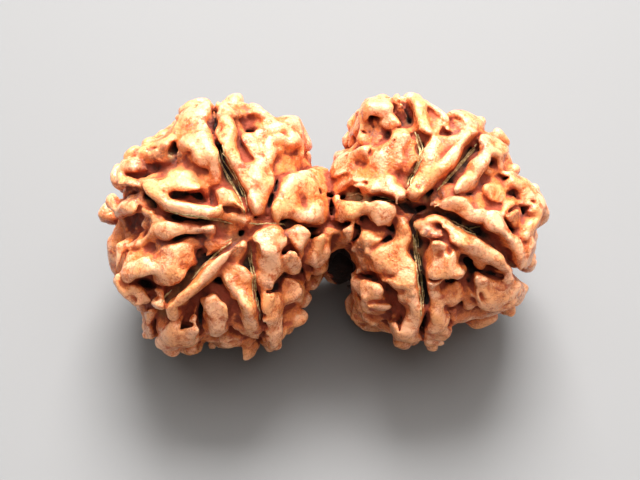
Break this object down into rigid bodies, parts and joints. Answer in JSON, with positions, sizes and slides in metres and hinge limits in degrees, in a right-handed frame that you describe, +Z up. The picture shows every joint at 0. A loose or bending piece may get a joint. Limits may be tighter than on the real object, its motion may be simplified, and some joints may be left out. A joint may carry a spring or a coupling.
{
  "type": "gauri shankar rudraksha",
  "caption": "Knobbly dried seed stone of joined rudraksha beads, each furrowed by deep face lines that run out from its fibrous pole.",
  "frame": {"origin": "bottom centre of the bounding box, on the surface that the stone rests on", "axes": "+X along the joined beads, from the left one to the right one, +Z up, and the beads' poles lean from +Z towards -Y"},
  "size_m": [0.031, 0.0188, 0.0182],
  "materials": {
    "seed_stone": "oiled, softly polished on the ridges and dark red-brown in the furrows"
  },
  "bodies": {
    "root": {"rudraksha": "seed_stone"}
  },
  "joints": []
}
